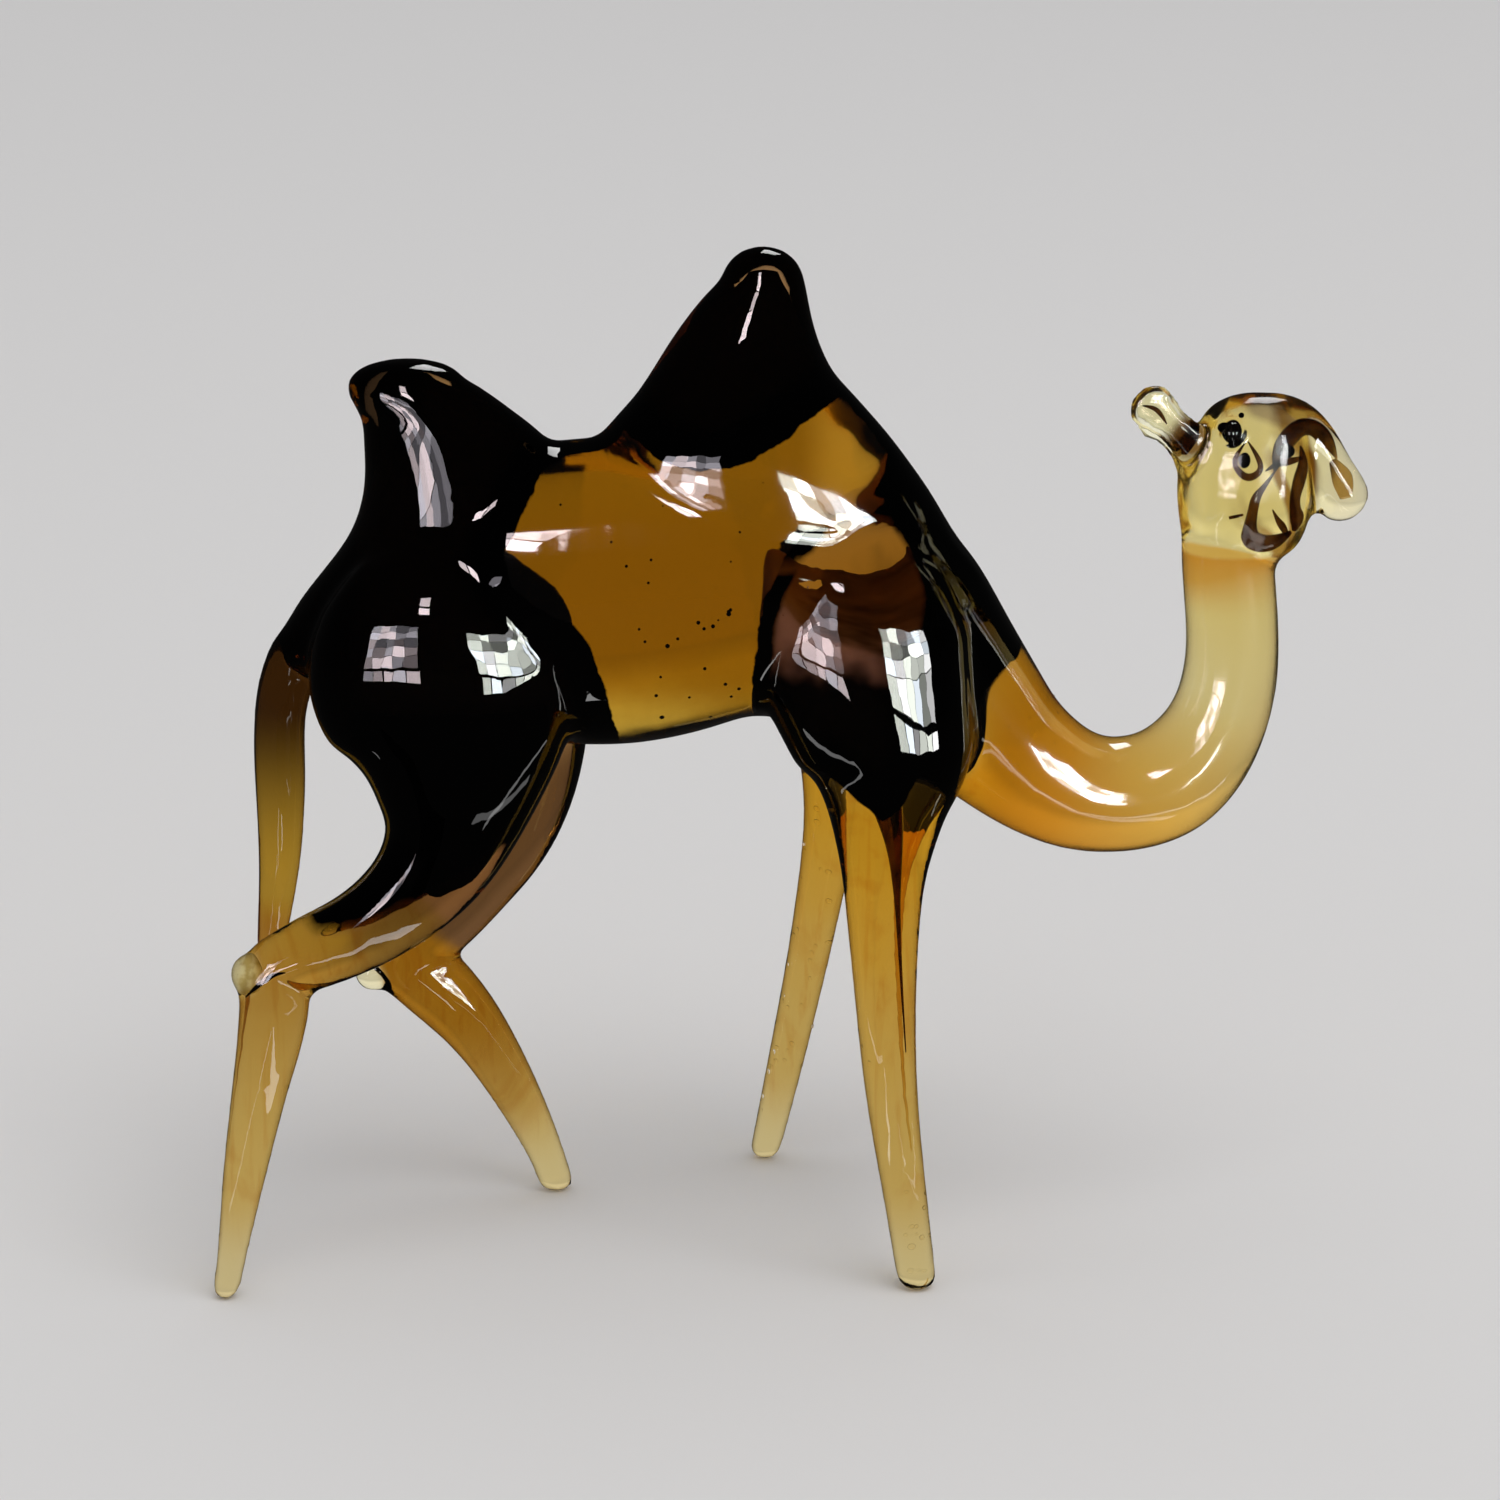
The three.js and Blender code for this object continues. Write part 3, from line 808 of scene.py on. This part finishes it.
class Recipe:
    """The shader nodes of a material or a world, made from plain values and sums of them."""

    def __init__(self, owner):
        self.owner = owner
        owner.use_nodes = True
        self.tree = owner.node_tree
        self.tree.nodes.clear()

    def node(self, kind, settings=None, sockets=None, out=0):
        made = self.tree.nodes.new("ShaderNode" + kind)
        for name, value in (settings or {}).items():
            if name == "stops":
                self.set_stops(made.color_ramp, value)
            else:
                setattr(made, name, value)
        for name, value in (sockets or {}).items():
            if isinstance(value, Value):
                self.tree.links.new(value.socket, made.inputs[name])
            else:
                made.inputs[name].default_value = value
        return Value(self, made.outputs[out]) if made.outputs else None

    @staticmethod
    def set_stops(ramp, stops):
        while len(ramp.elements) < len(stops):
            ramp.elements.new(1.0)
        for element, (place, colour) in zip(ramp.elements, stops):
            element.position = place
            element.color = (*colour, 1.0)

    def blend(self, share, first, second):
        """Mixes two colours, all of the second where share is 1."""
        return self.node("Mix", {"data_type": "RGBA"}, {0: share, 6: first, 7: second}, 2)

    def tint(self, first, second):
        """One colour seen through another."""
        settings = {"data_type": "RGBA", "blend_type": "MULTIPLY"}
        return self.node("Mix", settings, {0: 1.0, 6: first, 7: second}, 2)

    def rise(self, value, span):
        """0 at the first number of a span and 1 at its second, with a soft step between."""
        settings = {"interpolation_type": "SMOOTHSTEP"}
        return self.node("MapRange", settings, {0: value, 1: span[0], 2: span[1]})

    def most(self, first, second):
        return self.node("Math", {"operation": "MAXIMUM"}, {0: first, 1: second})

    def noise(self, place, pattern):
        scale, detail = pattern
        return self.node("TexNoise", None, {"Vector": place, "Scale": scale, "Detail": detail})

    def place(self, stretch=(1, 1, 1)):
        """The place on the piece in millimetres, with its axes stretched."""
        object_place = self.node("TexCoord", None, None, 3)
        return self.node("Mapping", None, {0: object_place, 3: [k / MM for k in stretch]})

    def axes(self, place):
        outputs = self.node("SeparateXYZ", None, {0: place}).socket.node.outputs
        return [Value(self, output) for output in outputs]

    def near(self, place, spot, span):
        """How near a place is to a spot: 0 at the span's first distance, 1 at its second."""
        away = self.node("VectorMath", {"operation": "DISTANCE"}, {0: place, 1: spot}, 1)
        return self.rise(away, span)

    def marked(self, name):
        """The number that a piece keeps for each of its corners."""
        return self.node("Attribute", {"attribute_name": name}, None, 2)

    def ray(self, question):
        """What is asked of the ray that looks at this place."""
        outputs = self.node("LightPath").socket.node.outputs
        return Value(self, outputs[question])

    def surface(self, shader):
        """Ends a material with its surface, and hands it over."""
        self.node("OutputMaterial", None, {"Surface": shader})
        return self.owner


class Value:
    """A number or colour at a node's socket. Arithmetic on it adds Math nodes."""

    def __init__(self, recipe, socket):
        self.recipe = recipe
        self.socket = socket

    def maths(self, operation, first, second):
        return self.recipe.node("Math", {"operation": operation}, {0: first, 1: second})

    def __add__(self, other):
        return self.maths("ADD", self, other)

    __radd__ = __add__

    def __sub__(self, other):
        return self.maths("SUBTRACT", self, other)

    def __rsub__(self, other):
        return self.maths("SUBTRACT", other, self)

    def __mul__(self, other):
        return self.maths("MULTIPLY", self, other)

    __rmul__ = __mul__

    def __truediv__(self, other):
        return self.maths("DIVIDE", self, other)

    def __rtruediv__(self, other):
        return self.maths("DIVIDE", other, self)


def material(name):
    return Recipe(bpy.data.materials.new(name))


def trunk_colour(r, place):
    """Amber of the flank, legs and tail, with painted light making the flank paler towards the
    belly.
    """
    x, y, z = r.axes(place)
    cloud = r.noise(place, CLOUD)
    # Painted light: the flank turns paler towards the belly, for the light that comes through the
    # glass near its lower edge
    body = r.blend(r.rise(z + cloud * CLOUD_ON_BODY, BELLY_Z), AMBER_DEEP, BELLY_PAINTED_LIGHT)
    body = r.blend(r.rise(x, PATCH_X), body, AMBER_PATCH)
    hind = r.rise(x, HIND_X)
    thigh = r.blend(r.rise(x, THIGH_X) * r.rise(y, THIGH_Y), AMBER_THIGH, THIGH_BROWN)
    upper = r.blend(hind, AMBER_KNEE, thigh)
    lift = cloud * CLOUD_ON_LEG + hind * r.rise(y, FAR_LEG_Y) * FAR_LEG_LIFT
    leg = r.blend(r.rise(z + lift, LEG_Z), upper, AMBER_LEG)
    streak = r.rise(r.noise(r.place(STREAK_STRETCH), STREAKS), STREAK_SHARE)
    leg = r.blend(streak * STREAK_STRENGTH, leg, r.tint(leg, AMBER_KNEE))
    on_belly = r.rise(x, BELLY_REAR_X) * r.rise(x, BELLY_FRONT_X)
    trunk = r.blend(r.rise(z, LEG_TOP_Z) * (1 - on_belly), body, leg)
    trunk = r.blend(r.rise(z, FOOT_Z), trunk, CLEAR_FOOT)
    tail = r.blend(r.rise(z, TAIL_Z), AMBER_TAIL, TAIL_ROOT_BROWN)
    return r.blend(r.rise(x, TAIL_X) * r.rise(z, TAIL_TIP_Z), trunk, tail)


def neck_colour(r, place):
    """Honey round the bend of the neck, deeper at both ends and on its underside."""
    x, _, z = r.axes(place)
    bend_x, bend_z = NECK_BEND
    turn = r.node("Math", {"operation": "ARCTAN2"}, {0: bend_z - z, 1: x - bend_x})
    neck = r.node("ValToRGB", {"stops": NECK_STOPS}, {0: (turn + NECK_LEAD) / NECK_SWEEP})
    from_bend = r.node("CombineXYZ", None, {0: x - bend_x, 1: z - bend_z})
    away = r.node("VectorMath", {"operation": "LENGTH"}, {0: from_bend}, 1)
    return r.blend(r.rise(away, NECK_UNDERSIDE_EDGE), neck, r.tint(neck, NECK_UNDERSIDE))


def head_colour(r, place):
    """Clear honey with a brown swirl on the cheek, a clear snout, and a mauve crown that is
    painted refraction of something dark seen through the head.
    """
    x, _, z = r.axes(place)
    swirl = r.node("TexWave", {"bands_direction": "DIAGONAL"}, {
        "Vector": r.place(SWIRL_STRETCH), **CHEEK_SWIRL}, 1)
    on_cheek = r.rise(x, SWIRL_REAR_X) * r.rise(x, SWIRL_FRONT_X) * r.rise(z, SWIRL_Z)
    head = r.blend(r.rise(swirl, SWIRL_SHARE) * on_cheek, HEAD_HONEY, HEAD_SWIRL)
    # Painted refraction: a mauve patch on the crown, for something dark seen through the head
    slope = (x - CROWN_LEVEL_X) * CROWN_SLOPE
    head = r.blend(r.rise(z + slope, CROWN_Z) * r.rise(x, CROWN_X), head, CROWN_PAINTED_REFRACTION)
    return r.blend(r.rise(x, SNOUT_X), head, SNOUT_CLEAR)


def dark_colour(r, place, window, wander):
    """Brown glass, black along the amber's edge, on the chest and at the tip of the thigh."""
    x, y, z = r.axes(place)
    thin = r.rise(r.marked("brown_reach") + wander, THIN_EDGE)
    dark = r.blend(r.rise(x, CHEST_X) * (1 - thin), BROWN_GLASS, BLACK_GLASS)
    dark = r.blend(r.rise(x, TAIL_ROOT_X), dark, TAIL_ROOT_BROWN)
    dark = r.blend(r.rise(z, HUMP_RIM_Z) * r.rise(x, HUMP_RIM_X), dark, HUMP_RIM)
    dark = r.blend(r.rise(x, HIND_X) * r.rise(z, THIGH_Z), dark, NEAR_THIGH_BROWN)
    dark = r.blend(r.rise(y, FAR_THIGH_Y) * r.rise(z, THIGH_Z), dark, FAR_THIGH_BROWN)
    lens = r.rise(x, LENS_REAR_X) * r.rise(x, LENS_FRONT_X)
    lens = lens * r.rise(z, LENS_LOW_Z) * r.rise(z, LENS_HIGH_Z)
    band = r.rise(window, BLACK_BAND_EDGE) * (1 - thin) * (1 - lens)
    line = r.rise(window, BLACK_LINE_EDGE) * r.rise(z, BLACK_LINE_Z)
    tip = r.rise(r.marked("black_reach") + wander, TIP_EDGE)
    return r.blend(r.most(r.most(band, line), tip), dark, BLACK_GLASS)


def camel_glass():
    """Clear amber glass, with dark glass fused over it, pale knobs at the hocks, and painted shade
    towards its edges.
    """
    r = material("camel_glass")
    place = r.place()
    x, _, z = r.axes(place)
    wander = (r.noise(place, WANDER) - 0.5) * WANDER_REACH
    window = r.marked("window_reach") + wander
    limb = r.marked("limb_reach") + wander
    is_amber = r.most(r.rise(window, AMBER_EDGE), r.rise(limb, LIMB_EDGE))
    on_neck = r.rise(x, NECK_X)
    on_head = r.rise(z, HEAD_Z) * r.rise(x, HEAD_X)
    on_knob = r.most(r.near(place, NEAR_KNOB, KNOB_EDGE), r.near(place, FAR_KNOB, KNOB_EDGE))

    amber = r.blend(on_knob, trunk_colour(r, place), KNOB_CLEAR)
    amber = r.blend(on_neck, amber, neck_colour(r, place))
    amber = r.blend(on_head, amber, head_colour(r, place))
    amber = r.blend(r.near(place, EAR_ROOT, EAR_ROOT_EDGE), amber, EAR_ROOT_BROWN)
    # Painted shade: the glass is tinted darker and browner towards its edges, where it turns from
    # the eye
    steep = r.node("LayerWeight", None, {"Blend": 0.5}, 1)
    edge_shade = r.rise(steep, EDGE_SHADE_SHARE) * EDGE_SHADE_STRENGTH * (1 - on_knob)
    edge_shade = edge_shade * (1 - on_head * EDGE_SHADE_LESS_ON_HEAD) * (1 - on_neck * EDGE_SHADE_LESS_ON_NECK)
    amber = r.blend(edge_shade, amber, r.tint(amber, EDGE_SHADE_BROWN))
    colour = r.blend(is_amber, dark_colour(r, place, window, wander), amber)

    milky = on_neck * (1 - on_head) * is_amber
    on_flank = r.rise(z, FLANK_Z) * (1 - on_neck) * is_amber
    on_skull = on_head * r.rise(x, SKULL_X)
    rough = milky * NECK_ROUGHNESS + on_flank * FLANK_ROUGHNESS + on_skull * SKULL_ROUGHNESS
    drawn = r.noise(r.place(DRAWN_STRETCH), DRAWN)
    lumps = r.noise(place, LUMPS) * on_skull * LUMP_HEIGHT
    pulled = r.node("Bump", None, {
        "Strength": BUMP_STRENGTH, "Distance": BUMP_DISTANCE, "Height": drawn + lumps})
    glass = r.node("BsdfPrincipled", None, {
        "Base Color": colour, "Roughness": rough + CLEAR_ROUGHNESS, "IOR": 1.5,
        "Transmission Weight": 1.0, "Coat Weight": r.most(milky, on_flank),
        "Coat Roughness": 0.01, "Normal": pulled})
    inside = r.node("VolumeAbsorption", None, {
        "Color": AMBER_ABSORBS, "Density": AMBER_DENSITY})
    r.node("OutputMaterial", None, {"Surface": glass, "Volume": inside})
    return r.owner


def black_glass():
    """Near black, with painted light: pale mauve where the shoulder glass is thin over it, for the
    light seen through there.
    """
    r = material("black_glass")
    place = r.place()
    x, _, z = r.axes(place)
    cloud = r.noise(place, CORE_CLOUD) * CLOUD_ON_CORE
    # Painted light: pale mauve on the black glass under the thin shoulder glass
    painted_light = r.rise(z + cloud, CORE_LIGHT_LOW_Z) * r.rise(z, CORE_LIGHT_HIGH_Z)
    painted_light = painted_light * r.rise(x, CORE_LIGHT_REAR_X) * r.rise(x, CORE_LIGHT_FRONT_X)
    return r.surface(r.node("BsdfPrincipled", None, {
        "Base Color": r.blend(painted_light, CORE_BLACK, CORE_PAINTED_LIGHT), "Roughness": 0.8,
        "Specular IOR Level": 0.0}))


def brown_strand():
    """Dark threads in the glass: tinted, hardly bent by their own edges, and gold in the snout."""
    r = material("brown_strand")
    streak = r.rise(r.noise(r.place(STRAND_STRETCH), STRAND_STREAKS), STRAND_SHARE)
    colour = r.blend(streak, STRAND_BROWN, STRAND_DARK)
    x = r.axes(r.place())[0]
    return r.surface(r.node("BsdfPrincipled", None, {
        "Base Color": r.blend(r.rise(x, SNOUT_PATCH_X), colour, STRAND_GOLD),
        "Roughness": 0.05, "IOR": 1.12, "Transmission Weight": 1.0}))


def pale_drop():
    """The milky pale glass of the drop at the near hock."""
    r = material("pale_drop")
    swirl = r.rise(r.noise(r.place(), DROP_SWIRL), DROP_SHARE)
    return r.surface(r.node("BsdfPrincipled", None, {
        "Base Color": r.blend(swirl, DROP_MILK, DROP_HONEY), "Roughness": 0.35, "IOR": 1.1,
        "Transmission Weight": 0.35}))


def bubble_glass():
    """The air in the bubbles, which shows only by how it bends the light."""
    r = material("bubble_glass")
    veil = r.noise(r.place(), BUBBLE_VEIL)
    return r.surface(r.node("BsdfPrincipled", None, {
        "Base Color": r.blend(veil, BUBBLE_WARM, BUBBLE_CLEAR), "Roughness": 0.02, "IOR": 1.3,
        "Transmission Weight": 1.0}))


def card_black():
    """Matt black, which mirrors nothing."""
    r = material("card_black")
    mottle = r.noise(r.place(), CARD_MOTTLE)
    return r.surface(r.node("BsdfPrincipled", None, {
        "Base Color": r.blend(mottle, CARD_DARK, CARD_LESS_DARK), "Roughness": 0.9,
        "Specular IOR Level": 0.0}))


def pale_floor():
    """A matt pale floor, dim where glass mirrors it and evenly bright where it is seen through."""
    r = material("pale_floor")
    through = r.rise(r.ray("Transmission Depth"), THROUGH_GLASS)
    mirrored = r.ray("Is Glossy Ray") * (1 - through)
    sheet = r.node("BsdfPrincipled", None, {
        "Base Color": r.blend(mirrored, FLOOR_PALE, FLOOR_MIRRORED), "Roughness": 0.9,
        "Specular IOR Level": 0.0})
    glow = r.node("Emission", None, {"Color": FLOOR_GLOW, "Strength": 1.0})
    return r.surface(r.node("MixShader", None, {0: through, 1: sheet, 2: glow}))


def direction(azimuth, height):
    """Unit vector from the camel to a place. Azimuth 0 is straight in front of its near side."""
    a = math.radians(azimuth)
    h = math.radians(height)
    return Vector((math.sin(a) * math.cos(h), -math.cos(a) * math.cos(h), math.sin(h)))


def stand(name, data, azimuth, height, distance):
    """Puts a camera or a light at a distance from the camel, and turns it to face the camel."""
    thing = bpy.data.objects.new(name, data)
    bpy.context.scene.collection.objects.link(thing)
    away = direction(azimuth, height)
    thing.location = CAMERA_TARGET + away * distance
    thing.rotation_euler = away.to_track_quat("Z", "Y").to_euler()
    return thing


def camera():
    """The photo's view: from the near side, a little towards the tail and a little above."""
    lens = bpy.data.cameras.new("camera")
    lens.sensor_fit = "HORIZONTAL"
    lens.angle = math.radians(CAMERA_FIELD)
    lens.clip_start = CAMERA_NEAR_CLIP
    bpy.context.scene.camera = stand(
        "camera", lens, CAMERA_AZIMUTH, CAMERA_HEIGHT_ANGLE, CAMERA_DISTANCE)


def flat_lamp(name, size, power, colour):
    """A lamp that shines from one rectangle."""
    lamp = bpy.data.lights.new(name, "AREA")
    lamp.shape = "RECTANGLE"
    lamp.size, lamp.size_y = size
    lamp.energy = power
    lamp.color = colour
    return lamp


def window_light(name, azimuth, height, distance, size, power, colour=WHITE_LIGHT,
                 lights_floor=False):
    """A flat light, either seen in the surface of the glass or falling on the floor."""
    lamp = flat_lamp(name, size, power, colour)
    thing = stand(name, lamp, azimuth, height, distance)
    thing.visible_camera = False
    thing.visible_diffuse = lights_floor
    thing.visible_glossy = not lights_floor
    thing.visible_transmission = False


def window(name, azimuth, columns, rows, powers, colours):
    """A wide window of small panes, uneven in brightness, with a low row close to the glass."""
    for column in range(columns):
        across = azimuth + column * PANE_STEP
        for row in range(rows):
            window_light(f"{name}_pane_{column}_{row}", across, FIRST_ROW + row * ROW_STEP,
                         PANE_DISTANCE, PANE_SIZE, random.uniform(*powers),
                         random.choice(colours))
        window_light(f"{name}_low_pane_{column}", across, LOW_ROW, LOW_DISTANCE, LOW_SIZE,
                     random.uniform(*powers) * LOW_SHARE, random.choice(colours))


def table_sheen(name, x, y, azimuth, power):
    """A strip of bright table in front of one leg, seen only as a line down its glass."""
    lamp = flat_lamp(name, STRIP_SIZE, power, WHITE_LIGHT)
    thing = bpy.data.objects.new(name, lamp)
    bpy.context.scene.collection.objects.link(thing)
    foot = Vector((x, y, STRIP_HEIGHT)) * MM
    thing.location = foot + direction(azimuth, 0) * STRIP_DISTANCE
    thing.rotation_euler = (math.pi, 0, math.radians(-azimuth))
    thing.visible_diffuse = False
    thing.visible_transmission = False
    thing.visible_camera = False


def sheet(name, width, surface):
    bpy.ops.object.select_all(action="DESELECT")
    bpy.ops.mesh.primitive_plane_add(size=width)
    made = bpy.context.object
    made.name = name
    made.data.materials.append(surface)
    return made


def card(name, place, azimuth, size, surface):
    """A dark card out of view that keeps the windows off one part of the glass."""
    made = sheet(name, 1.0, surface)
    made.scale = (size[0] * MM, size[1] * MM, 1.0)
    made.location = Vector(place) * MM
    made.rotation_euler = (math.pi / 2, 0, math.radians(-azimuth))
    made.visible_camera = False
    made.visible_diffuse = False
    made.visible_transmission = False
    made.visible_shadow = False


def surroundings():
    """A plain pale room, dark where glass mirrors it so that only the windows show there."""
    r = Recipe(bpy.data.worlds.new("studio"))
    bpy.context.scene.world = r.owner
    up = r.axes(r.node("TexCoord"))[2]
    mirrored = r.node("ValToRGB", {"stops": ROOM_MIRRORED}, {0: up})
    bright = r.node("ValToRGB", {"stops": ROOM_THROUGH_GLASS}, {0: up})
    colour = r.blend(r.ray("Is Glossy Ray"), ROOM_SEEN, mirrored)
    colour = r.blend(r.ray("Is Transmission Ray"), colour, bright)
    colour = r.blend(r.ray("Is Diffuse Ray"), colour, ROOM_LIGHT)
    light = r.node("Background", None, {"Color": colour, "Strength": 1.0})
    r.node("OutputWorld", None, {"Surface": light})


# The camel
skin = glass_form("camel_glass")
mark_zones(skin)
skin.data.materials.append(camel_glass())
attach(skin, BODY)
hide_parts(SOLID)

# What is sealed in its glass
piece_of("dark_cores", [core_form("dark_cores")], black_glass())
# Some brown threads in the head are painted reflection, standing for dark lines that refraction
# draws there
piece_of("brown_threads", [thread(*line) for line in BROWN_THREADS], brown_strand())
piece_of("hock_drop", [bead(*HOCK_DROP)], pale_drop())
beads = [bead(*lump) for lump in BLACK_BEADS] + [thread(*line) for line in BLACK_THREADS]
piece_of("black_beads", beads, black_glass())
random.seed(SPECK_SEED)
piece_of("dark_specks", scattered(DARK_SPECKS), black_glass())
piece_of("air_bubbles", scattered(AIR_BUBBLES), bubble_glass())

# The studio
camera()
floor = sheet("floor", FLOOR_WIDTH, pale_floor())
floor.location.z = -FLOOR_DROP * MM
surroundings()
random.seed(PANE_SEED)
for panes in WINDOWS:
    window(*panes)
for row in range(HIGH_PANES):
    window_light(f"high_pane_{row}", HIGH_AZIMUTH, HIGH_ROW + row * HIGH_STEP, PANE_DISTANCE,
                 HIGH_SIZE, random.uniform(*HIGH_POWERS), MAUVE_LIGHT)
window_light("back_window", *BACK_WINDOW)
window_light("soft_overhead", *SOFT_OVERHEAD, lights_floor=True)
dark_sheet = card_black()
for name, place, azimuth, size in CARDS:
    card(name, place, azimuth, size, dark_sheet)
for number, strip in enumerate(SHEEN_STRIPS):
    table_sheen(f"sheen_{number}", *strip)

scene = bpy.context.scene
scene.view_settings.view_transform = "Standard"
